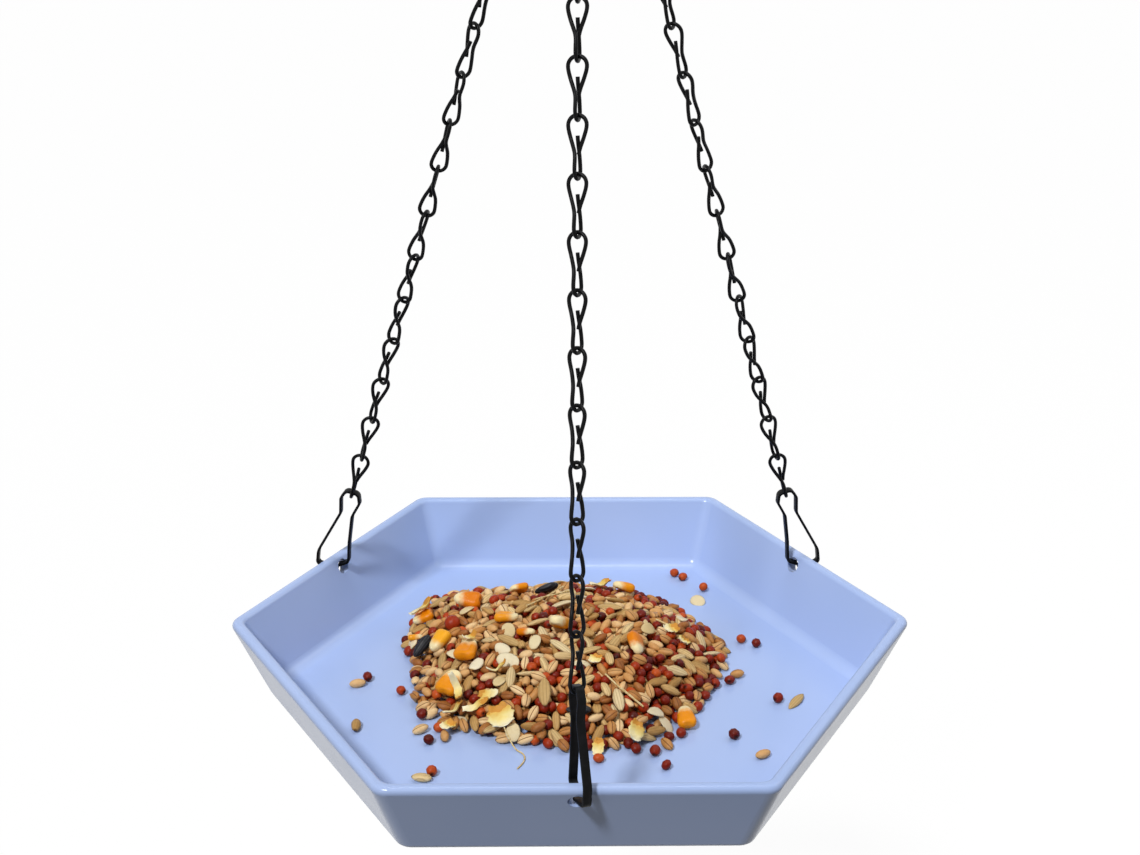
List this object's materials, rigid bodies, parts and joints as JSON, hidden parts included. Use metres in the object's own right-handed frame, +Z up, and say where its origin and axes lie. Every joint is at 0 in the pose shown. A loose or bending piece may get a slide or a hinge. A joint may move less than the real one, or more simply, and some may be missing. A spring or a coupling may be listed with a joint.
{
  "type": "hanging bird feeder",
  "caption": "Open hexagonal bird feeder tray holding a heap of seed, hung by twisted-link jack chains and bent strip clips from a wire ring and an S-hook.",
  "frame": {"origin": "the point at the top of the S-hook's crook, inside, where it bears on what it hangs from", "axes": "+Z up along the line the feeder hangs in, -Y towards the wall that carries the front chain, +X to the right seen from the front"},
  "size_m": [0.2264, 0.2024, 0.4015],
  "materials": {
    "tray_plastic": "glossy moulded",
    "chain_wire": "satin black",
    "clip_strip": "satin black",
    "hanger_wire": "satin black",
    "seed": "matte"
  },
  "bodies": {
    "hook": {"s_hook": "hanger_wire"},
    "ring": {"top_ring": "hanger_wire"},
    "feeder": {"tray": "tray_plastic", "seed_mix": "seed", "wall_clips": "clip_strip", "chain_front_link_01": "chain_wire", "chain_front_link_02": "chain_wire", "chain_front_link_03": "chain_wire", "chain_front_link_04": "chain_wire", "chain_front_link_05": "chain_wire", "chain_front_link_06": "chain_wire", "chain_front_link_07": "chain_wire", "chain_front_link_08": "chain_wire", "chain_front_link_09": "chain_wire", "chain_front_link_10": "chain_wire", "chain_front_link_11": "chain_wire", "chain_front_link_12": "chain_wire", "chain_front_link_13": "chain_wire", "chain_front_link_14": "chain_wire", "chain_front_link_15": "chain_wire", "chain_front_link_16": "chain_wire", "chain_front_link_17": "chain_wire", "chain_front_link_18": "chain_wire", "chain_left_link_01": "chain_wire", "chain_left_link_02": "chain_wire", "chain_left_link_03": "chain_wire", "chain_left_link_04": "chain_wire", "chain_left_link_05": "chain_wire", "chain_left_link_06": "chain_wire", "chain_left_link_07": "chain_wire", "chain_left_link_08": "chain_wire", "chain_left_link_09": "chain_wire", "chain_left_link_10": "chain_wire", "chain_left_link_11": "chain_wire", "chain_left_link_12": "chain_wire", "chain_left_link_13": "chain_wire", "chain_left_link_14": "chain_wire", "chain_left_link_15": "chain_wire", "chain_left_link_16": "chain_wire", "chain_left_link_17": "chain_wire", "chain_left_link_18": "chain_wire", "chain_right_link_01": "chain_wire", "chain_right_link_02": "chain_wire", "chain_right_link_03": "chain_wire", "chain_right_link_04": "chain_wire", "chain_right_link_05": "chain_wire", "chain_right_link_06": "chain_wire", "chain_right_link_07": "chain_wire", "chain_right_link_08": "chain_wire", "chain_right_link_09": "chain_wire", "chain_right_link_10": "chain_wire", "chain_right_link_11": "chain_wire", "chain_right_link_12": "chain_wire", "chain_right_link_13": "chain_wire", "chain_right_link_14": "chain_wire", "chain_right_link_15": "chain_wire", "chain_right_link_16": "chain_wire", "chain_right_link_17": "chain_wire", "chain_right_link_18": "chain_wire"}
  },
  "joints": [
    {"name": "ring_swing", "type": "hinge", "parent": "hook", "child": "ring", "pos_m": [0, 0, -0.0525], "axis": [1, 0, 0], "range_deg": [-60, 60]},
    {"name": "feeder_swing", "type": "hinge", "parent": "ring", "child": "feeder", "pos_m": [0, 0, -0.07175], "axis": [0, 1, 0], "range_deg": [-60, 60]}
  ]
}
